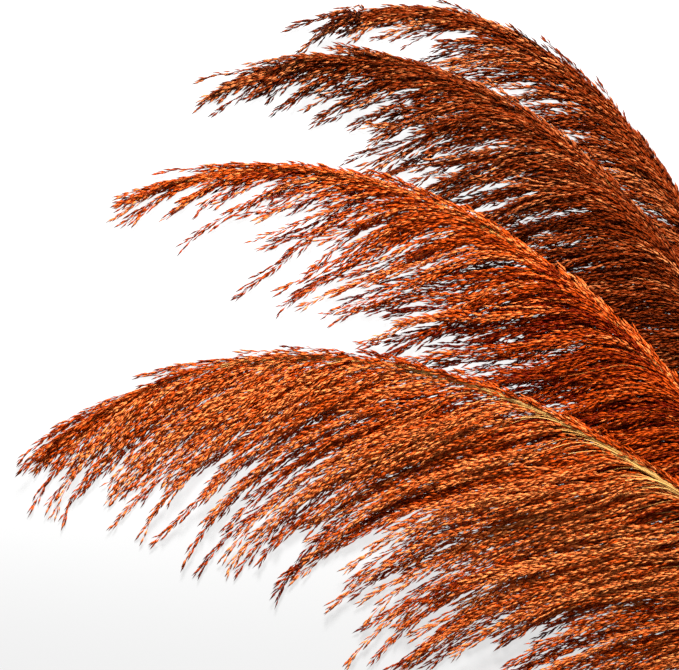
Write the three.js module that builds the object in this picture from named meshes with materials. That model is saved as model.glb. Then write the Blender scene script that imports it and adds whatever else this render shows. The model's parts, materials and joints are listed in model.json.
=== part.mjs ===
// A bundle of four dried and dyed reed plumes, of the kind sold as pampas grass, tied with twine and
// lying down. Millimetres, +Z up, z = 0 is the surface under it. The stalks run from their cut ends
// along +X, the plumes nod towards +Y, and each plume lies half on the one before it.
import * as THREE from "three";
import { mergeVertices } from "three/addons/utils/BufferGeometryUtils.js";

// Stalks: the part below the plume, and the rachis that carries the plume
const STALK_DIAMETER = 6.4;
const RACHIS_TIP_DIAMETER = 1.6;
const BELOW_TIE = 255; // cut ends to tie
const BEND_AT_TIE = 60; // the stalks spread from the tie within about this length
const STALK_SAG = 1.7; // that a stalk sags between two stations
const STALK_SIDES = 8;
const STALK_STEPS = 36;

// Tie: a flat winding of twine
const TIE_WIDTH = 15;
const TWINE_DIAMETER = 2.4;
const TIE_STEPS = 32;

// Sprays: one is the cluster of branches that grows from one joint of the rachis
const SPRAYS = 13; // on each plume
const SPRAY_WIDTH = 36;
const SPRAY_THICKNESS = 20;
const SPRAY_ROOT = 3.2; // thickness of a spray where it leaves the rachis
const SPREAD = 38; // degrees between rachis and spray, low in the plume
const SPRAY_SAG = 1.8; // that a spray sags between two stations
const SPRAY_SIDES = 8;
const SPRAY_STEPS = 9;

// The last sprays, at the plume's tip
const TIP_SPRAY_LENGTH = 62;
const TIP_SPRAY_WIDTH = 13;
const TIP_SPRAY_THICKNESS = 9;
const TIP_SPREAD = 12;
const TIP_DROOP = 20;
const FULL_WITHIN = 280; // the sprays grow to full size within about this length from the tip
const CLOSING_UP = 1.15; // above 1, the sprays stand closer together towards the tip

// Fit
const GAP = 0.3; // between pieces that touch side by side
const RESTING_GAP = 0.6; // between a piece and the one that it lies on
const DOME = 0.4; // a rod's end is domed by this share of its half thickness
const CELL = 1.5; // grid of the pile's height map
const CLEARANCE = 9; // a rachis lies no lower than the pile this far to each side of it

// The four plumes, in the order in which they are laid down.
// across, lean: the place in the tie, in stalks, and the degrees that the stalk turns aside beyond it
// nod, late: the degrees that the rachis nods over, and how late it starts to
// length, plume, spray: tie to tip, lowest spray to tip, and the longest spray
// droop: the degrees that a spray turns along its length, low in the plume
// below, splay: what the cut end is longer by, and the degrees that the stalk turns aside there
const PLUMES = [
  {
    name: "back_plume",
    colour: 0x7e4128,
    across: -1.3,
    lean: -18,
    nod: 111,
    late: 4,
    length: 941,
    plume: 770,
    spray: 290,
    droop: 48,
    below: 8,
    splay: 5,
  },
  {
    name: "third_plume",
    colour: 0x8a4426,
    across: 0,
    lean: -16.6,
    nod: 101.5,
    late: 2.85,
    length: 974,
    plume: 800,
    spray: 300,
    droop: 58,
    below: -6,
    splay: 1,
  },
  {
    name: "second_plume",
    colour: 0x9c4a26,
    across: 1.3,
    lean: -7.4,
    nod: 87,
    late: 2.5,
    length: 952,
    plume: 800,
    spray: 320,
    droop: 62,
    below: 0,
    splay: -4,
  },
  {
    name: "front_plume",
    colour: 0xb4562a,
    across: 0.65,
    lean: 5,
    nod: 91,
    late: 2,
    length: 950,
    plume: 850,
    spray: 405,
    droop: 56,
    below: -12,
    splay: -8,
  },
];

const STRAW_COLOUR = 0xb98a52;
const TWINE_COLOUR = 0xa88a5c;

const radians = THREE.MathUtils.degToRad;
const mix = THREE.MathUtils.lerp;

// An uneven value that repeats: between -1 and 1 for each whole number.
const GOLDEN_RATIO = (1 + Math.sqrt(5)) / 2;
const uneven = (number) => 2 * ((number * GOLDEN_RATIO) % 1) - 1;

// The pile so far: the height of what lies on each small square of the surface.
const pile = new Map();
const square = (x, y) => Math.round(x / CELL) * 100000 + Math.round(y / CELL);

// A route is a list of stations, equally far apart, each with its place, its share of the length, its
// heading in plan, its half width and half thickness, and a margin beside it that it lies above too.
function walk(start, length, steps, headingAt) {
  const fine = 12;
  const stride = length / (steps * fine);
  const route = [];
  let { x, y } = start;
  for (let i = 0; i <= steps * fine; i += 1) {
    const share = i / (steps * fine);
    if (i % fine === 0) {
      route.push({ x, y, z: 0, share, heading: headingAt(share), halfWidth: 0, halfThick: 0, margin: 0 });
    }
    const heading = headingAt(share + 0.5 / (steps * fine));
    x += stride * Math.cos(heading);
    y += stride * Math.sin(heading);
  }
  return route;
}

// What lies between two stations, or between the two nearest to a length along a route.
function between(from, to, share) {
  const point = {};
  for (const key of ["x", "y", "z", "heading", "halfWidth", "halfThick", "margin"]) {
    point[key] = mix(from[key], to[key], share);
  }
  return point;
}

function pointAlong(route, length, total) {
  const place = (length / total) * (route.length - 1);
  const i = THREE.MathUtils.clamp(Math.floor(place), 0, route.length - 2);
  return between(route[i], route[i + 1], place - i);
}

// Visits points all over the stretch between two stations and the margin beside it, with the height of
// the piece's middle and its half thickness at the point.
function overStretch(from, to, visit) {
  const along = Math.ceil(Math.hypot(to.x - from.x, to.y - from.y) / (CELL / 2));
  for (let i = 0; i <= along; i += 1) {
    const here = between(from, to, i / along);
    const reach = here.halfWidth + here.margin;
    const across = Math.ceil(reach / (CELL / 2));
    for (let j = -across; j <= across; j += 1) {
      const side = (reach * j) / across;
      const roundness = Math.sqrt(Math.max(0, 1 - (side / here.halfWidth) ** 2));
      const x = here.x - side * Math.sin(here.heading);
      const y = here.y + side * Math.cos(here.heading);
      visit(x, y, here.z, here.halfThick * roundness);
    }
  }
}

// Lets a route down on the pile. It rests on the highest thing under it, and is too stiff to sag more
// than a little from station to station, but where it is tied down it lies right on what is under it.
// A spray starts at the height that its first station has.
function settle(route, sag, startsHere) {
  const lowest = route.map((station) => station.halfThick);
  for (let i = 0; i + 1 < route.length; i += 1) {
    overStretch(route[i], route[i + 1], (x, y, z, halfThick) => {
      const under = pile.get(square(x, y));
      if (under !== undefined) {
        const needed = under + RESTING_GAP + halfThick;
        lowest[i] = Math.max(lowest[i], needed);
        lowest[i + 1] = Math.max(lowest[i + 1], needed);
      }
    });
  }
  if (startsHere) {
    lowest[0] = route[0].z;
  }
  const heights = [...lowest];
  for (let round = 0; round < 500; round += 1) {
    for (let i = 1; i + 1 < heights.length; i += 1) {
      if (!route[i].tied) {
        heights[i] = Math.max(lowest[i], (heights[i - 1] + heights[i + 1]) / 2 - sag);
      }
    }
  }
  route.forEach((station, i) => {
    station.z = heights[i];
  });
}

function raise(x, y, height) {
  const key = square(x, y);
  pile.set(key, Math.max(height, pile.get(key) ?? 0));
}

function addToPile(route) {
  for (let i = 0; i + 1 < route.length; i += 1) {
    overStretch(route[i], route[i + 1], (x, y, z, halfThick) => {
      if (halfThick > 0) {
        raise(x, y, z + halfThick);
      }
    });
  }
}

// The underside of the tie lies on the surface first, and the stalks on it.
function addTieUnderside() {
  const reach = 2 * STALK_DIAMETER;
  for (let x = -TIE_WIDTH / 2; x <= TIE_WIDTH / 2; x += CELL / 2) {
    for (let y = -reach; y <= reach; y += CELL / 2) {
      raise(x, y, TWINE_DIAMETER + GAP - RESTING_GAP);
    }
  }
}

function closedSurface(geometry) {
  geometry.deleteAttribute("normal");
  geometry.deleteAttribute("uv");
  const merged = mergeVertices(geometry, 1e-3);
  merged.computeVertexNormals();
  return merged;
}

// A closed rod of round section bent along a route, with a ring of corners at each station and low
// domed ends.
function rod(route, sides) {
  const last = route.length - 1;
  const profile = route.map((station, i) => new THREE.Vector2(1, i));
  profile.unshift(new THREE.Vector2(0, -1));
  profile.push(new THREE.Vector2(0, last + 1));
  const geometry = new THREE.LatheGeometry(profile, sides);
  const corner = geometry.getAttribute("position");
  for (let i = 0; i < corner.count; i += 1) {
    const ring = Math.round(corner.getY(i));
    const station = route[THREE.MathUtils.clamp(ring, 0, last)];
    const ahead = (ring < 0 ? -DOME : ring > last ? DOME : 0) * station.halfThick;
    const side = -corner.getX(i) * station.halfWidth;
    const cos = Math.cos(station.heading);
    const sin = Math.sin(station.heading);
    const x = station.x + ahead * cos - side * sin;
    const y = station.y + ahead * sin + side * cos;
    corner.setXYZ(i, x, y, station.z + corner.getZ(i) * station.halfThick);
  }
  return closedSurface(geometry);
}

function piece(name, geometry, colour) {
  const material = new THREE.MeshStandardMaterial({ color: colour, roughness: 0.85, metalness: 0 });
  const mesh = new THREE.Mesh(geometry, material);
  mesh.name = name;
  return mesh;
}

// One stalk with its rachis, from the cut end to just short of the plume's tip, passing the tie at x = 0.
function stalkRoute(plume) {
  const below = BELOW_TIE + plume.below;
  const above = plume.length - TIP_SPRAY_LENGTH;
  const total = below + above;
  const headingAt = (share) => {
    const pastTie = share * total - below;
    const eased = 1 - Math.exp(-Math.abs(pastTie) / BEND_AT_TIE);
    if (pastTie < 0) {
      return radians(plume.splay) * eased;
    }
    return radians(plume.lean * eased + plume.nod * (pastTie / plume.length) ** plume.late);
  };
  const route = walk({ x: 0, y: 0 }, total, STALK_STEPS, headingAt);
  const atTie = pointAlong(route, below, total);
  for (const station of route) {
    const pastTie = Math.max(0, station.share * total - below);
    station.tied = Math.abs(station.share * total - below) < total / STALK_STEPS;
    station.x -= atTie.x;
    station.y += plume.across * (STALK_DIAMETER + GAP) - atTie.y;
    station.halfWidth = mix(STALK_DIAMETER, RACHIS_TIP_DIAMETER, (pastTie / above) ** 0.8) / 2;
    station.halfThick = station.halfWidth;
    station.margin = pastTie > plume.length - plume.plume ? CLEARANCE : 0;
  }
  return { route, total };
}

// One spray: it starts beside the rachis, sweeps away from it on the side that the plume nods to, and
// droops. The last one carries on from the end of the rachis.
function sprayRoute(plume, stalk, number) {
  const isLast = number === SPRAYS;
  const upPlume = (number - 1) / (SPRAYS - 1);
  const toEnd = (plume.plume - TIP_SPRAY_LENGTH) * (1 - upPlume) ** CLOSING_UP;
  const root = pointAlong(stalk.route, stalk.total - toEnd, stalk.total);
  const fullness = 1 - Math.exp(-toEnd / FULL_WITHIN);
  const spread = isLast ? 0 : mix(TIP_SPREAD, SPREAD, fullness) + 2.5 * uneven(number);
  const fullDroop = plume.droop * (1 + 0.1 * uneven(number + SPRAYS));
  const droop = mix(TIP_DROOP, fullDroop, fullness ** 1.6);
  const longer = isLast ? 1 : 1 + 0.06 * uneven(2 * number);
  const length = mix(TIP_SPRAY_LENGTH, plume.spray, fullness) * longer;
  const aside = isLast ? 0 : root.halfWidth + SPRAY_ROOT / 2 + GAP;
  const ahead = isLast ? DOME * (root.halfThick + SPRAY_ROOT / 2) + GAP : 0;
  const start = {
    x: root.x - aside * Math.sin(root.heading) + ahead * Math.cos(root.heading),
    y: root.y + aside * Math.cos(root.heading) + ahead * Math.sin(root.heading),
  };
  const headingAt = (share) => root.heading + radians(spread + droop * share);
  const route = walk(start, length, SPRAY_STEPS, headingAt);
  for (const station of route) {
    const swell = Math.max(0, Math.sin(Math.PI * station.share ** 0.95)) ** 0.7;
    station.halfWidth = mix(SPRAY_ROOT, mix(TIP_SPRAY_WIDTH, SPRAY_WIDTH, fullness), swell) / 2;
    station.halfThick = mix(SPRAY_ROOT, mix(TIP_SPRAY_THICKNESS, SPRAY_THICKNESS, fullness), swell) / 2;
  }
  route[0].z = Math.max(root.z, SPRAY_ROOT / 2);
  return route;
}

// Twine wound round the stalks: a ring that follows the outline of all of them together, within its width.
function tieGeometry(stalks) {
  const half = TIE_WIDTH / 2;
  const discs = [];
  for (const { route } of stalks) {
    for (const x of [-half, 0, half]) {
      const next = route.findIndex((station) => station.x > x);
      const from = route[next - 1];
      discs.push(between(from, route[next], (x - from.x) / (route[next].x - from.x)));
    }
  }
  const hub = 10;
  const bevel = TWINE_DIAMETER / 3;
  const outside = hub + TWINE_DIAMETER;
  const profile = [
    new THREE.Vector2(hub, half),
    new THREE.Vector2(outside - bevel, half),
    new THREE.Vector2(outside, half - bevel),
    new THREE.Vector2(outside, bevel - half),
    new THREE.Vector2(outside - bevel, -half),
    new THREE.Vector2(hub, -half),
    new THREE.Vector2(hub, half),
  ];
  const geometry = new THREE.LatheGeometry(profile, TIE_STEPS);
  const corner = geometry.getAttribute("position");
  for (let i = 0; i < corner.count; i += 1) {
    const distance = Math.hypot(corner.getX(i), corner.getZ(i));
    const across = corner.getX(i) / distance;
    const up = corner.getZ(i) / distance;
    const reach = (disc) => disc.y * across + disc.z * up + disc.halfWidth;
    const outermost = discs.reduce((best, disc) => (reach(disc) > reach(best) ? disc : best));
    const offset = outermost.halfWidth + GAP + distance - hub;
    corner.setXYZ(i, corner.getY(i), outermost.y + across * offset, outermost.z + up * offset);
  }
  return closedSurface(geometry);
}

const bundle = new THREE.Group();
const stalks = [];
addTieUnderside();
for (const plume of PLUMES) {
  const stalk = stalkRoute(plume);
  settle(stalk.route, STALK_SAG, false);
  bundle.add(piece(`${plume.name}_stalk`, rod(stalk.route, STALK_SIDES), STRAW_COLOUR));
  for (let number = 1; number <= SPRAYS; number += 1) {
    const route = sprayRoute(plume, stalk, number);
    settle(route, SPRAY_SAG, true);
    addToPile(route);
    const name = `${plume.name}_spray_${String(number).padStart(2, "0")}`;
    bundle.add(piece(name, rod(route, SPRAY_SIDES), plume.colour));
  }
  addToPile(stalk.route);
  stalks.push(stalk);
}
bundle.add(piece("twine_tie", tieGeometry(stalks), TWINE_COLOUR));

// The origin is the middle of the bundle's footprint, on the surface.
const bounds = new THREE.Box3().setFromObject(bundle);
bundle.position.set(-(bounds.min.x + bounds.max.x) / 2, -(bounds.min.y + bounds.max.y) / 2, -bounds.min.z);

export default bundle;
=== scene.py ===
# Four dried and dyed reed plumes tied with twine, lying on a white table, seen from above.
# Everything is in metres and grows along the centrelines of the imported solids.
import json
import math

import bpy
import numpy as np
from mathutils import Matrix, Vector

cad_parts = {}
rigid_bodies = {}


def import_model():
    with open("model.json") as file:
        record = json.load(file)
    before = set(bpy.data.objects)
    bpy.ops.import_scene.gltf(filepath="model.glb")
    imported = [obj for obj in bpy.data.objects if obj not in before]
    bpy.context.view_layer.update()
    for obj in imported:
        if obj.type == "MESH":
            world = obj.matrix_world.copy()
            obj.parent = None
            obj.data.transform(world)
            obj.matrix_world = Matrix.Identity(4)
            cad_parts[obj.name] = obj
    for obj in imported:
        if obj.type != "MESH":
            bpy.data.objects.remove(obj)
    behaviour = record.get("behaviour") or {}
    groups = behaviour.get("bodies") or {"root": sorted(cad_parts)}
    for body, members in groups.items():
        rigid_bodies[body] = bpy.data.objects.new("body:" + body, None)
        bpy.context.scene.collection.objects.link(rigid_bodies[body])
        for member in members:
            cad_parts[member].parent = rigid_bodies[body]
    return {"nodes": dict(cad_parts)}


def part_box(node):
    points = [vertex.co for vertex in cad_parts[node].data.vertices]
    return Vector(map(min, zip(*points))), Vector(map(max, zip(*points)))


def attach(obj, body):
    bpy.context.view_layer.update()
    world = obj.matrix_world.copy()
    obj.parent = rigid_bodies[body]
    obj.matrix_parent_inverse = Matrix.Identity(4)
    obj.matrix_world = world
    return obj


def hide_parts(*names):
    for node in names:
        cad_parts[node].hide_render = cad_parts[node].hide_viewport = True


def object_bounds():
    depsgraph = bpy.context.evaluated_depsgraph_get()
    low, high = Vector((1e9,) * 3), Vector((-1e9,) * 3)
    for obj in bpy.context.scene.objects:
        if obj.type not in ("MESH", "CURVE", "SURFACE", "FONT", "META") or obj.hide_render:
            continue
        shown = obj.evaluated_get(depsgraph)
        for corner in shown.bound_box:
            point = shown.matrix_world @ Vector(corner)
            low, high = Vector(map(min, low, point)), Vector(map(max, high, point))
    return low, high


for leftover in list(bpy.data.objects):
    bpy.data.objects.remove(leftover)
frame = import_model()
cad_low, cad_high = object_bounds()
MM = 0.001
scene = bpy.context.scene


# The table: a white matt laminate sheet that lies under the whole bundle. A glow of its own stands for strong
# light from all round, which leaves only a faint shade under the plumes.
def linear(hex_colour):
    """An sRGB hex value as the linear colour that a shader takes."""
    srgb = [(hex_colour >> shift & 255) / 255 for shift in (16, 8, 0)]
    channels = [c / 12.92 if c <= 0.04045 else ((c + 0.055) / 1.055) ** 2.4 for c in srgb]
    return (*channels, 1.0)


def new_material(name):
    """A material with only its Principled shader and output."""
    material = bpy.data.materials.new(name)
    material.use_nodes = True
    return material, material.node_tree, material.node_tree.nodes["Principled BSDF"]


def add_node(tree, kind, settings=(), values=(), links=()):
    """Adds a node with its properties, its socket values and its links (socket, from node, output)."""
    node = tree.nodes.new(kind)
    for name, value in dict(settings).items():
        setattr(node, name, value)
    for socket, value in dict(values).items():
        node.inputs[socket].default_value = value
    for socket, source, output in links:
        tree.links.new(source.outputs[output], node.inputs[socket])
    return node


TABLE_SIDE = 6.0
TABLE_COLOUR = 0x606060
TABLE_GLOW = 0xFFFFFF
# White laminate, pressed smooth but matt, so that it mirrors nothing.
laminate, laminate_tree, laminate_shader = new_material("white_matt_laminate")
laminate_shader.inputs["Base Color"].default_value = linear(TABLE_COLOUR)
laminate_shader.inputs["Roughness"].default_value = 0.7
laminate_shader.inputs["Emission Color"].default_value = linear(TABLE_GLOW)
# The glow falls off towards the near edge of the table.
TABLE_GLOW_RANGE = (0.92, 0.68)
TABLE_GLOW_FALL = (-0.25, 0.08)  # where the fall starts and ends, towards the near edge
NEAR_EDGE = (-0.766, 0.643, 0)
laminate_place = add_node(laminate_tree, "ShaderNodeTexCoord")
laminate_nearness = add_node(
    laminate_tree,
    "ShaderNodeVectorMath",
    {"operation": "DOT_PRODUCT"},
    {1: NEAR_EDGE},
    [(0, laminate_place, "Object")],
)
laminate_glow = add_node(
    laminate_tree,
    "ShaderNodeMapRange",
    {"interpolation_type": "SMOOTHSTEP"},
    {
        "From Min": TABLE_GLOW_FALL[0],
        "From Max": TABLE_GLOW_FALL[1],
        "To Min": TABLE_GLOW_RANGE[0],
        "To Max": TABLE_GLOW_RANGE[1],
    },
    [("Value", laminate_nearness, "Value")],
)
laminate_tree.links.new(laminate_glow.outputs["Result"], laminate_shader.inputs["Emission Strength"])
table_mesh = bpy.data.meshes.new("white_table")
table_corner = TABLE_SIDE / 2
table_corners = [(x * table_corner, y * table_corner, 0) for x, y in ((-1, -1), (1, -1), (1, 1), (-1, 1))]
table_mesh.from_pydata(table_corners, [], [(0, 1, 2, 3)])
table_mesh.materials.append(laminate)
table = bpy.data.objects.new("white_table", table_mesh)
scene.collection.objects.link(table)

# The camera: it looks straight down at the plumes, which are beyond and beside the tie, and the stalks
# below them are outside its view.
tie_low, tie_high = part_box("twine_tie")
tie_middle = (tie_low + tie_high) / 2
AIM_FROM_TIE = (0.608, 0.185)
VIEW_WIDTH = 0.611
VIEW_TURN = 130  # degrees from +X to the right-hand side of the view
CAMERA_LENS = 100
CAMERA_SENSOR = 36
camera_data = bpy.data.cameras.new("overhead_camera")
camera_data.lens = CAMERA_LENS
camera_data.sensor_width = CAMERA_SENSOR
camera = bpy.data.objects.new("overhead_camera", camera_data)
PLUME_HEIGHT = 0.035  # the level at which the view is VIEW_WIDTH wide
camera.location = (
    tie_middle.x + AIM_FROM_TIE[0],
    tie_middle.y + AIM_FROM_TIE[1],
    PLUME_HEIGHT + VIEW_WIDTH * CAMERA_LENS / CAMERA_SENSOR,
)
camera.rotation_euler = (0, 0, math.radians(-VIEW_TURN))
scene.collection.objects.link(camera)
scene.camera = camera

# The light: one soft box to the side of the plumes, a broad fill from overhead and a dim white room. They
# are plain studio lamps, and each faces the place that the camera looks at.
aim = Vector((camera.location.x, camera.location.y, 0))


def soft_box(name, offset, size, power):
    """A square area lamp that faces the plumes."""
    lamp = bpy.data.lights.new(name, "AREA")
    lamp.size = size
    lamp.energy = power
    box = bpy.data.objects.new(name, lamp)
    box.location = aim + Vector(offset)
    box.rotation_euler = (aim - box.location).to_track_quat("-Z", "Y").to_euler()
    scene.collection.objects.link(box)


soft_box("key_soft_box", offset=(0.85, -0.75, 1.1), size=0.4, power=72)
soft_box("overhead_soft_box", offset=(0, 0, 2.4), size=2.2, power=8)
ROOM_LIGHT = 0.15
world = bpy.data.worlds.new("white_room")
world.use_nodes = True
world.node_tree.nodes["Background"].inputs["Color"].default_value = (1, 1, 1, 1)
world.node_tree.nodes["Background"].inputs["Strength"].default_value = ROOM_LIGHT
scene.world = world
scene.view_settings.view_transform = "Standard"


# The stalks: four whole reed stems, each with the rachis that carries its plume. Dried, dyed only in
# passing, so still golden straw: fine ribs, a darker joint every 12 cm, and a hollow cut end.
ROD_SIDES = 8  # of the solids of stalks and sprays, which end in a point at both ends
SAME_PLACE = 1e5  # corners that agree to this many parts of a metre are one


def rod_stations(node, start):
    """The middle and half thickness of each ring of a rod-shaped solid, from the end nearest to start."""
    mesh = frame["nodes"][node].data
    corners = np.empty(3 * len(mesh.vertices), np.float32)
    mesh.vertices.foreach_get("co", corners)
    rounded = np.round(corners.reshape(-1, 3) * SAME_PLACE).astype(int)
    places, same = np.unique(rounded, axis=0, return_inverse=True)
    places = places / SAME_PLACE
    same = same.ravel()
    edges = np.empty(2 * len(mesh.edges), np.int32)
    mesh.edges.foreach_get("vertices", edges)
    joined = same[edges.reshape(-1, 2)]
    joined = np.unique(np.sort(joined[joined[:, 0] != joined[:, 1]], axis=1), axis=0)
    touching = [set() for _ in places]
    for a, b in joined:
        touching[a].add(b)
        touching[b].add(a)
    apexes = [i for i, around in enumerate(touching) if len(around) == ROD_SIDES]
    first = min(apexes, key=lambda i: np.linalg.norm(places[i] - start))
    seen, ring, rings = {first}, {first}, []
    while ring:
        ring = {b for a in ring for b in touching[a]} - seen
        seen |= ring
        if len(ring) > 1:
            rings.append(places[list(ring)])
    middle = np.array([(r.min(axis=0) + r.max(axis=0)) / 2 for r in rings])
    half_thick = np.array([np.ptp(r[:, 2]) / 2 for r in rings])
    return middle, half_thick


def smooth_route(points, count):
    """A smooth curve through points (Catmull-Rom), sampled at count even shares."""
    ends = np.vstack([2 * points[0] - points[1], points, 2 * points[-1] - points[-2]])
    place = np.linspace(0, len(points) - 1, count)
    i = np.minimum(place.astype(int), len(points) - 2)
    f = (place - i)[:, None]
    a, b, c, d = ends[i], ends[i + 1], ends[i + 2], ends[i + 3]
    return 0.5 * (2 * b + (c - a) * f + (2 * a - 5 * b + 4 * c - d) * f**2 + (3 * b - a - 3 * c + d) * f**3)


def lengths_along(route):
    """How far along the route each point is."""
    return np.concatenate([[0], np.cumsum(np.linalg.norm(np.diff(route, axis=0), axis=1))])


def at_length(route, along, lengths):
    """Points on the route at the given lengths."""
    return np.stack([np.interp(lengths, along, route[:, axis]) for axis in range(3)], axis=-1)


PLUMES = ("front_plume", "second_plume", "third_plume", "back_plume")
STALK_SIDES = 30
STALK_RIBS = 10
RIB_DEPTH = 0.035  # share of the radius
STALK_STEP = 2 * MM
STALK_POINTS = 400  # of the route that is read from the solid
JOINT_SPACING = 0.12
JOINT_SWELL = 0.1  # share of the radius
JOINT_LENGTH = 4 * MM
JOINT_RING = 1.6 * MM  # length of the brown ring
JOINT_DEPTH = 0.85  # how much of the brown shows at the middle of the ring
WALL = 0.22  # thickness of the hollow stem's wall, share of the radius
HOLLOW_DEPTH = 0.012
STRIP, DISCS, DISC_RADIUS = 0.02, (0.01, 0.05), 0.008  # places on the flat map
FIBRES_PER_MM = 0.7  # coarser than real ones, which are too fine to show
FIBRE_STRETCH = 0.03  # how much the pattern is drawn out along the stem: its scale there, as a share
FIBRE_RELIEF = 0.2 * MM


def place_piece(name, mesh, material, replaced):
    """Makes a mesh into a piece that rides on the body and stands for its solid."""
    mesh.materials.append(material)
    made = bpy.data.objects.new(name, mesh)
    scene.collection.objects.link(made)
    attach(made, "root")
    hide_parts(replaced)


# Dried reed straw, grown and left uncoated: a dull shine, broken up by darker and lighter fibres that run
# along the stem.
straw, straw_tree, straw_shader = new_material("dried_reed_straw")
STRAW_DARK, STRAW_MIDDLE, STRAW_LIGHT = 0x946228, 0xCC9848, 0xE6C07C
JOINT_BROWN = 0x6E4820
straw_place = add_node(straw_tree, "ShaderNodeAttribute", {"attribute_name": "fibre"})
straw_fibre = add_node(
    straw_tree,
    "ShaderNodeTexNoise",
    values={"Scale": FIBRES_PER_MM / MM, "Detail": 3},
    links=[("Vector", straw_place, "Vector")],
)
straw_ramp = add_node(straw_tree, "ShaderNodeValToRGB", links=[("Fac", straw_fibre, "Fac")])
straw_ramp.color_ramp.elements[0].color = linear(STRAW_DARK)
straw_ramp.color_ramp.elements[0].position = 0.3
straw_ramp.color_ramp.elements[1].color = linear(STRAW_LIGHT)
straw_ramp.color_ramp.elements[1].position = 0.75
straw_ramp.color_ramp.elements.new(0.5).color = linear(STRAW_MIDDLE)
straw_joint = add_node(straw_tree, "ShaderNodeAttribute", {"attribute_name": "joint"})
straw_ringed = add_node(
    straw_tree,
    "ShaderNodeMix",
    {"data_type": "RGBA"},
    {7: linear(JOINT_BROWN)},
    [(0, straw_joint, "Fac"), (6, straw_ramp, "Color")],
)
straw_tree.links.new(straw_ringed.outputs[2], straw_shader.inputs["Base Color"])
straw_shader.inputs["Roughness"].default_value = 0.55
straw_bump = add_node(
    straw_tree,
    "ShaderNodeBump",
    values={"Strength": 0.4, "Distance": FIBRE_RELIEF},
    links=[("Height", straw_fibre, "Fac")],
)
straw_tree.links.new(straw_bump.outputs["Normal"], straw_shader.inputs["Normal"])

rachis = {}
turn = np.linspace(0, 2 * np.pi, STALK_SIDES, endpoint=False)
ribbed = 1 - RIB_DEPTH * (0.5 + 0.5 * np.cos(STALK_RIBS * turn))
for plume in PLUMES:
    cut_end = np.array([cad_low.x, 0, 0])
    middle, half_thick = rod_stations(f"{plume}_stalk", cut_end)
    route = smooth_route(middle, STALK_POINTS)
    along = lengths_along(route)
    even = np.linspace(0, 1, STALK_POINTS)
    radius_at = np.interp(even, np.linspace(0, 1, len(half_thick)), half_thick)
    rachis[plume] = (route, along, radius_at)

    lengths = np.arange(0, along[-1], STALK_STEP)
    points_on = at_length(route, along, lengths)
    phase = np.mod(lengths, JOINT_SPACING) - JOINT_SPACING / 2
    swell = 1 + JOINT_SWELL * np.exp(-((phase / JOINT_LENGTH) ** 2))
    radius = np.interp(lengths, along, radius_at) * swell
    tangent = np.gradient(points_on, axis=0)
    tangent /= np.linalg.norm(tangent, axis=1)[:, None]
    side = np.cross(tangent, (0, 0, 1))
    side /= np.linalg.norm(side, axis=1)[:, None]
    up = np.cross(side, tangent)
    rings = points_on[:, None] + radius[:, None, None] * ribbed[None, :, None] * (
        np.cos(turn)[None, :, None] * side[:, None] + np.sin(turn)[None, :, None] * up[:, None]
    )
    inner = points_on[0] + (rings[0] - points_on[0]) * (1 - WALL)
    deep = inner + tangent[0] * HOLLOW_DEPTH
    all_rings = np.concatenate([deep[None], inner[None], rings])
    all_rings[..., 2] = np.maximum(all_rings[..., 2], 0)
    count = len(all_rings)
    faces = []
    for r in range(count - 1):
        here, onward = r * STALK_SIDES, (r + 1) * STALK_SIDES
        for s in range(STALK_SIDES):
            n = (s + 1) % STALK_SIDES
            faces.append((here + s, here + n, onward + n, onward + s))
    faces.append(tuple(range(STALK_SIDES))[::-1])
    faces.append(tuple((count - 1) * STALK_SIDES + s for s in range(STALK_SIDES)))
    reed = bpy.data.meshes.new(f"{plume}_stalk_reed")
    reed.from_pydata(all_rings.reshape(-1, 3).tolist(), [], faces)
    reed.polygons.foreach_set("use_smooth", np.ones(len(faces), bool))

    # Where each point is round the stem and along it, so that the fibres run lengthwise.
    fibre = np.zeros((count, STALK_SIDES, 3))
    fibre[..., 0] = radius[0] * np.cos(turn)
    fibre[..., 1] = radius[0] * np.sin(turn)
    fibre[2:, :, 2] = lengths[:, None] * FIBRE_STRETCH
    reed.attributes.new("fibre", "FLOAT_VECTOR", "POINT").data.foreach_set("vector", fibre.ravel())
    joint = np.zeros((count, STALK_SIDES))
    joint[2:] = JOINT_DEPTH * np.exp(-((phase / JOINT_RING) ** 2))[:, None]
    reed.attributes.new("joint", "FLOAT", "POINT").data.foreach_set("value", joint.ravel())

    # The flat map: the wall is one sheet, and the two ends are small discs in the strip below it.
    reed_map = []
    for r in range(count - 1):
        v0, v1 = (STRIP + (1 - STRIP) * row / count for row in (r, r + 1))
        for s in range(STALK_SIDES):
            u0, u1 = s / STALK_SIDES, (s + 1) / STALK_SIDES
            reed_map += [(u0, v0), (u1, v0), (u1, v1), (u0, v1)]
    for disc in DISCS:
        reed_map += [(disc + DISC_RADIUS * np.cos(a), DISCS[0] + DISC_RADIUS * np.sin(a)) for a in turn]
    reed.uv_layers.new(name="OFBake").data.foreach_set("uv", np.array(reed_map, np.float32).ravel())
    place_piece(f"{plume}_stalk_reed", reed, straw, f"{plume}_stalk")


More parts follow.
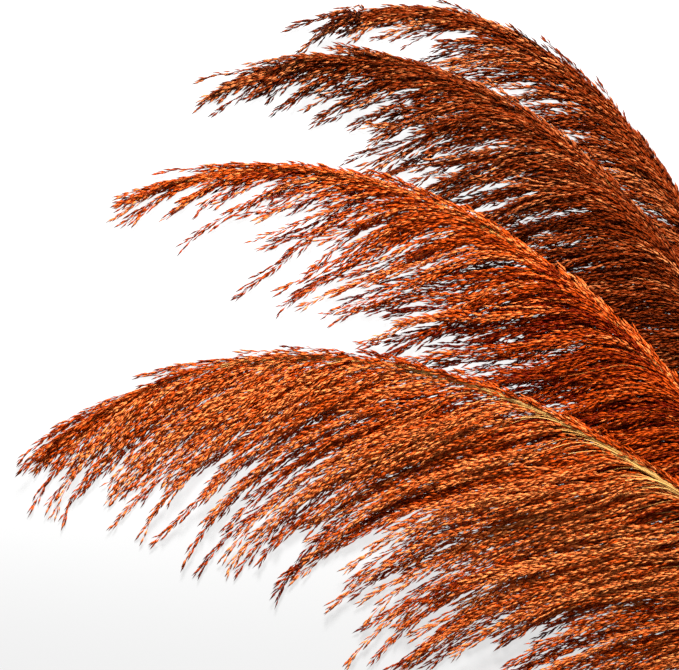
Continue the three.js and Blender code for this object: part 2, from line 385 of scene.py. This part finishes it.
# The sprays: at each joint of the rachis a cluster of thread-like branches leaves to one side. Each branch
# carries long thin branchlets that lie almost along it, each with a row of lance-shaped spikelets that point
# forward. All of it is one growth, dried and dipped in dye.
SPRAYS = 13
CREST_BRANCHES = 3  # short ones that lie along the outer side of the rachis
BRANCH_RADIUS = (0.42 * MM, 0.16 * MM)
PRESSED_ALONG = 0.05  # length that a branch runs along the rachis before it leaves it
BARE_AT_FOOT = 0.065  # length without spikelets on the lowest branches
BARE_AT_TIP = 0.004
BRANCHLET_SPACING = 10 * MM
BRANCHLET_LENGTH = 0.085
BRANCHLET_RADIUS = 0.26 * MM
BRANCHLET_REACH = 11 * MM  # how far a branchlet's end stands off its branch
SPIKELET_SPACING = 4.2 * MM
SPIKELET_LENGTH = 10.4 * MM
SPIKELET_WIDTH = 2.1 * MM
FAMILY_POINTS = 61


def unit(vectors):
    """The vectors at length one."""
    return vectors / (np.linalg.norm(vectors, axis=-1, keepdims=True) + 1e-12)


def frames_along(points, upright=(0.0, 0.0, 1.0)):
    """The tangent, side and upward direction at each point of a line."""
    tangent = unit(np.gradient(points, axis=-2))
    side = unit(np.cross(tangent, upright))
    return tangent, side, np.cross(side, tangent)


def soften(values, passes):
    """Averages each value with its neighbours, ends kept."""
    values = values.copy()
    for _ in range(passes):
        values[1:-1] = 0.25 * values[:-2] + 0.5 * values[1:-1] + 0.25 * values[2:]
    return values


class Growth:
    """What a spray is made of while it grows: points, faces, and values and a flat map for its dye and
    painted shade.
    """

    def __init__(self):
        self.points, self.faces, self.flat, self.cells = [], [], [], []
        self.values = {"tone": [], "tip": [], "wood": []}
        self.count = self.cell_count = 0

    def add(self, points, faces, flat, tone, tip, wood):
        """Adds like items: points (items, n, 3), faces (m, 3) of one item, and its flat map (m, 3, 2)."""
        items, each, _ = points.shape
        self.points.append(points.reshape(-1, 3))
        first = self.count + np.arange(items)[:, None, None] * each
        self.faces.append((first + faces).reshape(-1, 3))
        self.flat.append(np.tile(flat, (items, 1, 1)))
        self.cells.append(np.repeat(self.cell_count + np.arange(items), len(faces)))
        for name, value in (("tone", tone), ("tip", tip), ("wood", wood)):
            self.values[name].append(np.broadcast_to(value, (items, each)).ravel())
        self.count += items * each
        self.cell_count += items


def thread_faces(stations, sides):
    """Faces and flat map of a thread."""
    faces, flat = [], []
    for i in range(stations - 1):
        for k in range(sides):
            a, b = i * sides + k, i * sides + (k + 1) % sides
            x0, x1 = 0.08 + 0.84 * i / (stations - 1), 0.08 + 0.84 * (i + 1) / (stations - 1)
            y0, y1 = 0.08 + 0.84 * k / sides, 0.08 + 0.84 * (k + 1) / sides
            faces += [(a, b, b + sides), (a, b + sides, a + sides)]
            flat += [((x0, y0), (x0, y1), (x1, y1)), ((x0, y0), (x1, y1), (x1, y0))]
    last = (stations - 1) * sides
    for k in range(1, sides - 1):
        faces += [(0, k + 1, k), (last, last + k, last + k + 1)]
        flat += [((0.02, 0.02), (0.06, 0.02), (0.02, 0.06)), ((0.94, 0.02), (0.98, 0.02), (0.98, 0.06))]
    return np.array(faces), np.array(flat)


def grow_threads(growth, lines, radii, tone, wood, sides=3, upright=(0.0, 0.0, 1.0)):
    """Threads along lines of shape (threads, stations, 3); wood is 1 where they are bare straw."""
    threads, stations, _ = lines.shape
    _, side, up = frames_along(lines, upright)
    turn = np.arange(sides)[:, None] * 2 * np.pi / sides
    corners = np.cos(turn) * side[:, :, None] + np.sin(turn) * up[:, :, None]
    points = lines[:, :, None] + radii[..., None, None] * corners
    faces, flat = thread_faces(stations, sides)
    growth.add(points.reshape(threads, -1, 3), faces, flat, tone, 0, wood)


GIRDLE = 0.4  # share of a spikelet's length at which it is widest
LANCE_FACES = np.array([(0, 2, 1), (0, 3, 2), (0, 1, 3), (4, 1, 2), (4, 2, 3), (4, 3, 1)])
LANCE_TIP = np.array([0, GIRDLE, GIRDLE, GIRDLE, 1])
LANCE_FLAT = np.array(
    [
        ((end, 0.5), (GIRDLE, 0.05 + 0.3 * k), (GIRDLE, 0.35 + 0.3 * k))
        for end in (0.05, 0.95)
        for k in range(3)
    ]
)


def grow_spikelets(growth, base, direction, outward, length, width, tone):
    """Lance-shaped spikelets: a point, a three-sided girdle with its keel outwards, and a point."""
    flat = unit(np.cross(direction, outward))
    outward = np.cross(flat, direction)
    length, half = length[:, None], width[:, None] / 2
    girdle = base + direction * GIRDLE * length + outward * 0.04 * length
    points = [
        base,
        girdle + flat * half - outward * half * 0.45,
        girdle + outward * half * 0.75,
        girdle - flat * half - outward * half * 0.45,
        base + direction * length,
    ]
    growth.add(np.stack(points, axis=1), LANCE_FACES, LANCE_FLAT, tone[:, None], LANCE_TIP, 0)


def grow_branch(growth, path, radius, bare, reach, longest, shade, draw):
    """One branch along path, with its branchlets and their spikelets."""
    along = lengths_along(path)
    total = along[-1]
    count = max(6, int(total / (9 * MM)))
    stem = at_length(path, along, np.linspace(0, total, count))
    # The branch's tone: the one it is given, which carries painted shade, and a random tone of its own.
    tone_here = shade + draw.normal(0, 0.15)
    straw_share = np.clip(1.6 - np.linspace(0, total, count) / (bare + 12 * MM), 0, 1)
    wood = np.repeat(straw_share, 3)[None]
    grow_threads(growth, stem[None], np.linspace(*radius, count)[None], tone_here, wood)
    tangent, side, up = frames_along(path)

    starts = np.append(np.arange(bare, total - 6 * MM, BRANCHLET_SPACING), total - 5 * MM)
    starts = np.clip(starts + draw.uniform(-0.45, 0.45, len(starts)) * BRANCHLET_SPACING, 0, total - 4 * MM)
    share = np.clip((starts - bare) / (total - bare), 0, 1)
    lengths = longest * (1 - 0.72 * share) * draw.uniform(0.55, 1.15, len(starts))
    lengths = np.maximum(np.minimum(lengths, total - starts + 8 * MM), 9 * MM)
    spin = draw.uniform(0, 2 * np.pi) + np.arange(len(starts)) * 2.4 + draw.normal(0, 0.4, len(starts))
    stands_off = reach * (1 - 0.78 * share) * draw.uniform(0.35, 1.15, len(starts))
    bend = draw.uniform(0.7, 1.4, len(starts))

    def on_branchlet(which, run):
        """Points of branchlets at the given distances from their feet."""
        at = starts[which] + run
        beyond = np.maximum(at - total, 0)
        centre = at_length(path, along, at) + tangent[-1] * beyond[..., None]
        off = stands_off[which] * (run / lengths[which]) ** bend[which] + 0.4 * MM
        across = np.cos(spin[which])[..., None] * at_length(side, along, at)
        upward = np.sin(spin[which])[..., None] * at_length(up, along, at)
        return centre + off[..., None] * (across + 0.7 * upward)

    which = np.arange(len(starts))
    steps = 5
    run = np.linspace(0, 1, steps) * lengths[:, None]
    thickness = np.linspace(1, 0.45, steps) * BRANCHLET_RADIUS * np.ones((len(starts), 1))
    tones = tone_here + draw.normal(0, 0.12, len(starts))
    thread_tone = np.clip(tones - 0.35, 0, 1)[:, None]
    grow_threads(growth, on_branchlet(which[:, None], run), thickness, thread_tone, 0)

    number = np.maximum(3, (lengths / SPIKELET_SPACING).astype(int))
    owner = np.repeat(which, number)
    order = np.concatenate([np.arange(n) for n in number])
    where = 0.08 + 0.9 * (order + draw.uniform(0.1, 0.9, len(owner))) / number[owner]
    where *= lengths[owner]
    base = on_branchlet(owner, where)
    ahead = unit(on_branchlet(owner, where + 2 * MM) - base)
    at = starts[owner] + where
    around = spin[owner] + np.where(order % 2, 1, -1) * draw.uniform(0.6, 2.2, len(owner))
    outward = np.cos(around)[:, None] * at_length(side, along, at)
    outward = outward + np.sin(around)[:, None] * at_length(up, along, at)
    lean = np.tan(np.radians(draw.uniform(3, 15, len(owner))))
    direction = unit(ahead + outward * lean[:, None])
    size = draw.uniform(0.7, 1.15, len(owner))
    width = SPIKELET_WIDTH * size * draw.uniform(0.8, 1.2, len(owner))
    length = SPIKELET_LENGTH * size
    tone = np.clip(tones[owner] + draw.normal(0, 0.11, len(owner)), 0, 1)
    grow_spikelets(growth, base + outward * 0.2 * MM, direction, outward, length, width, tone)


def grown_piece(name, growth, material, replaced):
    """Makes a growth into a mesh and its piece, which lies on the table or above it."""
    points = np.concatenate(growth.points)
    points[:, 2] = np.maximum(points[:, 2], 0.3 * MM)
    faces = np.concatenate(growth.faces)
    mesh = bpy.data.meshes.new(name)
    mesh.vertices.add(len(points))
    mesh.vertices.foreach_set("co", points.astype(np.float32).ravel())
    mesh.loops.add(faces.size)
    mesh.loops.foreach_set("vertex_index", faces.astype(np.int32).ravel())
    mesh.polygons.add(len(faces))
    mesh.polygons.foreach_set("loop_start", np.arange(0, faces.size, 3, dtype=np.int32))
    mesh.polygons.foreach_set("use_smooth", np.ones(len(faces), bool))
    for value, parts in growth.values.items():
        layer = mesh.attributes.new(value, "FLOAT", "POINT")
        layer.data.foreach_set("value", np.concatenate(parts).astype(np.float32))
    rows = math.ceil(math.sqrt(growth.cell_count))
    cells = np.concatenate(growth.cells)
    corner = np.stack([cells % rows, cells // rows], axis=-1)[:, None]
    flat = (np.concatenate(growth.flat) + corner) / rows
    mesh.uv_layers.new(name="OFBake").data.foreach_set("uv", flat.astype(np.float32).ravel())
    mesh.update(calc_edges=True)
    place_piece(name, mesh, material, replaced)


def dyed_husk(name, dark, middle, bright, tip_colour, wood_dark, wood_light, specular):
    """Dried grass husk dipped in dye: papery, dull shine; each spikelet has a tone of its own, partly painted
    shade.
    """
    material, tree, shader = new_material(name)
    tone = add_node(tree, "ShaderNodeAttribute", {"attribute_name": "tone"})
    tip = add_node(tree, "ShaderNodeAttribute", {"attribute_name": "tip"})
    wood = add_node(tree, "ShaderNodeAttribute", {"attribute_name": "wood"})
    dye = add_node(tree, "ShaderNodeValToRGB", links=[("Fac", tone, "Fac")])
    dye.color_ramp.elements[0].color = linear(dark)
    dye.color_ramp.elements[1].color = linear(bright)
    dye.color_ramp.elements.new(0.5).color = linear(middle)
    at_tip = add_node(
        tree,
        "ShaderNodeMapRange",
        values={"From Min": 0.35, "From Max": 1.0, "To Min": 0.0, "To Max": 0.35},
        links=[("Value", tip, "Fac")],
    )
    husk = add_node(
        tree,
        "ShaderNodeMix",
        {"data_type": "RGBA"},
        {7: linear(tip_colour)},
        [(0, at_tip, "Result"), (6, dye, "Color")],
    )
    stem = add_node(tree, "ShaderNodeValToRGB", links=[("Fac", tone, "Fac")])
    stem.color_ramp.elements[0].color = linear(wood_dark)
    stem.color_ramp.elements[1].color = linear(wood_light)
    both = add_node(
        tree,
        "ShaderNodeMix",
        {"data_type": "RGBA"},
        links=[(0, wood, "Fac"), (6, husk, 2), (7, stem, "Color")],
    )
    tree.links.new(both.outputs[2], shader.inputs["Base Color"])
    shader.inputs["Roughness"].default_value = 0.5
    shader.inputs["Specular IOR Level"].default_value = 0.3
    shader.inputs["Specular Tint"].default_value = linear(specular)
    return material


orange_husk = dyed_husk(
    "orange_dyed_husk",
    dark=0x5C0200,
    middle=0xC0460A,
    bright=0xF0904C,
    tip_colour=0xB04008,
    wood_dark=0xA86A24,
    wood_light=0xF0C070,
    specular=0xFFB070,
)
# The russet husk's ramp is darker than the orange one's: partly a deeper dye, partly painted shade for the
# two plumes that lie behind.
russet_husk_with_painted_shade = dyed_husk(
    "russet_dye_and_painted_shade_husk",
    dark=0x260000,
    middle=0x7A2604,
    bright=0xD07C46,
    tip_colour=0x7C2C04,
    wood_dark=0x84501C,
    wood_light=0xD09A50,
    specular=0xFFB070,
)
# For each plume: its husk and slot, how deep the dye is at its foot and its tip (0 deepest), darker at the
# foot of the plumes behind by painted shade, where their dense bodies lie in shade, the length over which its
# branches part from the rachis, the share of them that start bare, how many branches there are on its lowest
# spray and on its last, and how much shorter than the spray they can be.
PLUME_GROWTH = {
    "front_plume": (orange_husk, "plume_orange", (0.58, 0.57), 0.07, 0.5, 26, 9, 0.48),
    "second_plume": (orange_husk, "plume_orange", (0.1, 0.58), 0.15, 0.2, 26, 3, 0.62),
    "third_plume": (russet_husk_with_painted_shade, "plume_russet", (0.2, 0.5), 0.2, 0.15, 32, 8, 0.45),
    "back_plume": (russet_husk_with_painted_shade, "plume_russet", (0.24, 0.42), 0.28, 0.1, 27, 7, 0.52),
}
LINE_POINTS = round(0.9 * FAMILY_POINTS)  # points of the last spray that carry on the rachis
LINE_TIP_RADIUS = 0.6 * MM
BEFORE_FIRST = 0.15  # how far before the first spray a branch may start, in sprays
AIM_SPREAD = 0.35  # how far a branch aims beside its place, in sprays
DEPTH_FILLED = 0.75  # share of the spray's thickness over which its branches lie
# Painted shade: the lower a branch lies in its spray, the darker its spikelets, for the shade deep inside the
# spray.
DEPTH_PAINTED_SHADE = 0.24  # how much paler the topmost branches are than the middle ones
PRESSED_POINTS = 8
PRESSED_GAP = 4 * MM  # between the pressed part and the joint
LIFT_LENGTH = 0.05  # over which a branch comes down from the rachis
SHORTEST_BRANCH = 0.03
BRANCH_STEP = 5 * MM
ROUTE_SOFTENING, WAVE_SOFTENING = 14, 30
WAVE = np.array([3, 3, 2.5]) * MM
BRANCH_CLEARANCE = 3 * MM  # of a branch's middle above the table
FULL_SIZE_LENGTH = 0.25  # a shorter branch has smaller branchlets
CREST_BEFORE_FIRST = 0.5
CREST_LENGTH = (0.06, 0.12)
CREST_SHORTEST = 0.025
CREST_POINTS = 16
CREST_RADIUS = (0.3 * MM, 0.15 * MM)
CREST_CLEARANCE = 2 * MM
CREST_BRANCHLET_REACH = 2.5 * MM
CREST_BRANCHLET_LENGTH = 0.03


def spray_routes(plume):
    """Each spray's route, its half thickness along that, and how far along the rachis it leaves."""
    stalk_route, stalk_along, _ = rachis[plume]
    routes, thicks, roots = [], [], []
    for number in range(1, SPRAYS + 1):
        node = f"{plume}_spray_{number:02d}"
        low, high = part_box(node)
        nearest = stalk_route[np.linalg.norm(stalk_route - (np.array(low) + high) / 2, axis=1).argmin()]
        middle, half_thick = rod_stations(node, nearest)
        ends = [np.linalg.norm(stalk_route - middle[end], axis=1).min() for end in (0, -1)]
        if ends[0] > ends[1]:
            middle, half_thick = middle[::-1], half_thick[::-1]
        routes.append(smooth_route(middle, FAMILY_POINTS))
        thicks.append(np.interp(np.linspace(0, 1, FAMILY_POINTS), np.linspace(0, 1, len(middle)), half_thick))
        roots.append(stalk_along[np.linalg.norm(stalk_route - middle[0], axis=1).argmin()])
    return routes, thicks, roots


def between_sprays(values, place):
    """A value at a place between two sprays, or a little before the first."""
    i = int(np.clip(np.floor(place), 0, SPRAYS - 2))
    return values[i] * (1 - place + i) + values[i + 1] * (place - i)


def on_or_past(line, line_along, lengths):
    """Points on the line at the given lengths, and straight on past its end."""
    past = np.maximum(lengths - line_along[-1], 0)[:, None]
    return at_length(line, line_along, lengths) + unit(line[-1] - line[-6]) * past


for plume_number, plume in enumerate(PLUMES):
    husk, slot, shades, parting, bare_share, most, fewest, shortfall = PLUME_GROWTH[plume]
    routes, thicks, roots = spray_routes(plume)
    # The rachis and the last spray after it are one line, along which the closest branches run.
    stalk_route, _, stalk_radius = rachis[plume]
    line = np.vstack([stalk_route, routes[-1][:LINE_POINTS]])
    line_along = lengths_along(line)
    line_radius = np.append(stalk_radius, np.full(LINE_POINTS, LINE_TIP_RADIUS))
    _, line_side, line_up = frames_along(line)

    for number in range(1, SPRAYS + 1):
        draw = np.random.default_rng(100 * plume_number + number)
        growth = Growth()
        up_plume = (number - 1) / (SPRAYS - 1)
        # Painted shade: on the plumes behind, the tone is darker at the foot, where the dense body lies in
        # shade.
        shade = shades[0] + (shades[1] - shades[0]) * up_plume
        branches = round(most + (fewest - most) * up_plume)
        for branch in range(branches):
            # It takes its shape from the two sprays that it starts between, and aims a little beside them.
            place = number - 1.5 + (branch + draw.uniform(0, 1)) / branches
            place = np.clip(place, -BEFORE_FIRST, SPRAYS - 1)
            root = between_sprays(roots, place)
            route = between_sprays(routes, place)
            thick = between_sprays(thicks, place)
            aim_place = np.clip(place + draw.normal(0, AIM_SPREAD), -BEFORE_FIRST, SPRAYS - 1)
            aimed = between_sprays(routes, aim_place)
            ease = (np.linspace(0, 1, FAMILY_POINTS) ** 1.5)[:, None]
            route = route + ease * ((aimed - aimed[0]) - (route - route[0]))
            level = draw.uniform(-1, 1)
            route = route + np.array([0, 0, 1]) * (level * DEPTH_FILLED * thick)[:, None]
            spans = lengths_along(route)

            # Some branches leave less far to the side, and fill the angle between the rachis and the rest.
            ahead = on_or_past(line, line_along, root + spans)
            least_turned = 0.75 - 0.65 * up_plume
            turned = (1 - 0.3 * up_plume**2) * (1.0 if branch % 2 else draw.uniform(least_turned, 1))
            parted = np.clip(spans / (parting * draw.uniform(0.6, 1.4)), 0, 1)[:, None]
            parted = turned * parted * parted * (3 - 2 * parted)
            route = ahead * (1 - parted) + route * parted
            longest = max((line_along[-1] - root) / max(1 - turned, 0.01), SHORTEST_BRANCH)
            keep = min(spans[-1] * (1 - shortfall * draw.random() ** 0.8), longest)
            route = at_length(route, spans, np.linspace(0, keep, FAMILY_POINTS))

            # Before it leaves, it runs pressed to the side of the rachis, from just inside its skin.
            run = min(PRESSED_ALONG, root * 0.5)
            back = np.linspace(root - run, root - PRESSED_GAP, PRESSED_POINTS)
            pressed = at_length(line, line_along, back)
            is_bare = draw.random() < bare_share
            angle = draw.uniform(0, 0.25 + 0.65 * max(up_plume, 1 - 2 * bare_share, is_bare)) * np.pi
            off = np.interp(back, line_along, line_radius)
            off = off + np.linspace(-0.8, 1, PRESSED_POINTS) * BRANCH_RADIUS[0]
            across = at_length(line_side, line_along, back) * -np.cos(angle)
            upward = at_length(line_up, line_along, back) * np.sin(angle)
            pressed = pressed + off[:, None] * (across + upward)
            lift = (off[-1] * (1 - spans / LIFT_LENGTH).clip(0))[:, None]
            route = route + lift * (across[-1] + upward[-1])

            # The two parts become one even curve with slight waves, clear of the table.
            whole = np.vstack([pressed, route[2:]])
            spans = lengths_along(whole)
            count = max(14, int(spans[-1] / BRANCH_STEP))
            whole = soften(at_length(whole, spans, np.linspace(0, spans[-1], count)), ROUTE_SOFTENING)
            wave = soften(draw.normal(0, 1, (count, 3)), WAVE_SOFTENING)
            wave /= np.abs(wave).max() + 1e-9
            whole = whole + wave * np.linspace(0, 1, count)[:, None] * WAVE
            whole[:, 2] = np.maximum(whole[:, 2], BRANCH_CLEARANCE)

            covered = min(1, 1.5 * max(up_plume, 1 - 2 * bare_share))
            bare = run * (1.15 - 0.7 * covered * draw.uniform(0, 1)) + BARE_AT_TIP
            if is_bare:
                bare = run + (BARE_AT_FOOT * (1 - up_plume) ** 1.5 + BARE_AT_TIP) * draw.uniform(0.5, 1.3)
            bare = min(bare, spans[-1] * 0.5)
            size = np.clip(spans[-1] / FULL_SIZE_LENGTH, 0.45, 1) * (1 - 0.25 * up_plume)
            reach, longest = BRANCHLET_REACH * size, BRANCHLET_LENGTH * size
            # The tone passed on is darker the lower the branch lies in its spray: painted shade.
            grow_branch(growth, whole, BRANCH_RADIUS, bare, reach, longest, shade + DEPTH_PAINTED_SHADE * level, draw)

        # The crest: short branches on the outer side of the rachis, which stand off it more towards the tip.
        crest_reach = 6 * MM + 13 * MM * up_plume**2
        for branch in range(CREST_BRANCHES):
            place = number - 1.5 + (branch + draw.uniform(0, 1)) / CREST_BRANCHES
            root = between_sprays(roots, np.clip(place, -CREST_BEFORE_FIRST, SPRAYS - 1))
            length = max(min(draw.uniform(*CREST_LENGTH), line_along[-1] - root), CREST_SHORTEST)
            lengths = np.linspace(root, root + length, CREST_POINTS)
            off = np.interp(lengths, line_along, line_radius)
            off = off + np.linspace(0, 1, CREST_POINTS) ** 1.3 * draw.uniform(1 * MM, crest_reach)
            angle = draw.uniform(-0.1, 0.15 + 0.5 * up_plume) * np.pi
            across = at_length(line_side, line_along, lengths) * np.cos(angle)
            upward = at_length(line_up, line_along, lengths) * np.sin(angle)
            whole = on_or_past(line, line_along, lengths) + off[:, None] * (across + upward)
            whole[:, 2] = np.maximum(whole[:, 2], CREST_CLEARANCE)
            reach, longest = CREST_BRANCHLET_REACH, CREST_BRANCHLET_LENGTH
            grow_branch(growth, whole, CREST_RADIUS, 0.15 * length, reach, longest, 0.5, draw)
        name = f"{plume}_spray_{number:02d}"
        grown_piece(f"{name}_spikelets", growth, husk, name)


# The tie: natural jute twine of two plies, wound about five times round all four stalks and finished with
# a small knot on top, whose two tails hang down at the sides. It grips the stalks.
TWINE_RADIUS = 1.2 * MM
PLY_RADIUS = 0.72 * MM
PLY_PITCH = 6 * MM
PLY_SIDES = 8
TWINE_STEP = 0.7 * MM
KNOT_SIZE = 1.5 * MM
TAIL_REACH = 21 * MM
WINDING_POINTS = 400
JUTE_FIBRES_PER_MM = 1.8
JUTE_RELIEF = 0.3 * MM

# Natural jute, spun and left undyed: dry and quite matt, with fibres in uneven browns.
jute, jute_tree, jute_shader = new_material("natural_jute_twine")
JUTE_DARK, JUTE_MIDDLE, JUTE_LIGHT = 0x6E5230, 0xA88A5C, 0xD2B88A
jute_place = add_node(jute_tree, "ShaderNodeTexCoord")
jute_fibre = add_node(
    jute_tree,
    "ShaderNodeTexNoise",
    values={"Scale": JUTE_FIBRES_PER_MM / MM, "Detail": 4},
    links=[("Vector", jute_place, "Object")],
)
jute_ramp = add_node(jute_tree, "ShaderNodeValToRGB", links=[("Fac", jute_fibre, "Fac")])
jute_ramp.color_ramp.elements[0].color = linear(JUTE_DARK)
jute_ramp.color_ramp.elements[0].position = 0.3
jute_ramp.color_ramp.elements[1].color = linear(JUTE_LIGHT)
jute_ramp.color_ramp.elements[1].position = 0.72
jute_ramp.color_ramp.elements.new(0.5).color = linear(JUTE_MIDDLE)
jute_tree.links.new(jute_ramp.outputs["Color"], jute_shader.inputs["Base Color"])
jute_shader.inputs["Roughness"].default_value = 0.9
jute_bump = add_node(
    jute_tree,
    "ShaderNodeBump",
    values={"Strength": 0.6, "Distance": JUTE_RELIEF},
    links=[("Height", jute_fibre, "Fac")],
)
jute_tree.links.new(jute_bump.outputs["Normal"], jute_shader.inputs["Normal"])


def grow_twine(growth, path, upright):
    """Two plies twisted round each other along path."""
    along = lengths_along(path)
    lengths = np.linspace(0, along[-1], max(12, int(along[-1] / TWINE_STEP)))
    centre = at_length(path, along, lengths)
    _, side, up = frames_along(centre, upright)
    twist = 2 * np.pi * lengths / PLY_PITCH
    plies = []
    for phase in (0, np.pi):
        off = np.cos(twist + phase)[:, None] * side + np.sin(twist + phase)[:, None] * up
        plies.append(centre + (TWINE_RADIUS - PLY_RADIUS) * off)
    radii = np.full((2, len(lengths)), PLY_RADIUS)
    grow_threads(growth, np.array(plies), radii, 0.5, 0, PLY_SIDES, upright)


tie_corners = np.array([corner.co for corner in frame["nodes"]["twine_tie"].data.vertices])
growth = Growth()
# The winding lies just inside the solid's outline, one twine's width further along at each turn.
turns = (np.ptp(tie_corners[:, 0]) - 2 * TWINE_RADIUS) / (2 * TWINE_RADIUS)
wound = np.linspace(0, turns, WINDING_POINTS)
outward = np.stack([0 * wound, np.cos(2 * np.pi * wound), np.sin(2 * np.pi * wound)], axis=1)
winding = tie_corners[(tie_corners @ outward.T).argmax(axis=0)] - TWINE_RADIUS * outward
winding[:, 0] = tie_corners[:, 0].min() + TWINE_RADIUS * (1 + 2 * wound)
grow_twine(growth, winding, (1.0, 0.0, 0.0))
middle = (tie_corners.min(axis=0) + tie_corners.max(axis=0)) / 2
top = np.array([middle[0], middle[1], tie_corners[:, 2].max() + TWINE_RADIUS * 0.6])
t = np.linspace(0, 2 * np.pi, 60)
knot = np.stack([np.sin(t) + 2 * np.sin(2 * t), np.cos(t) - 2 * np.cos(2 * t), -0.8 * np.sin(3 * t)], axis=1)
grow_twine(growth, top + KNOT_SIZE * knot, (0.0, 0.0, 1.0))
for way in (-1, 1):
    share = np.linspace(0, 1, 20)
    tail = np.stack([0.35 * way * share, way * share, -0.75 * share**2.2], axis=1)
    grow_twine(growth, top + TAIL_REACH * tail, (1.0, 0.0, 0.0))
grown_piece("jute_twine_tie", growth, jute, "twine_tie")
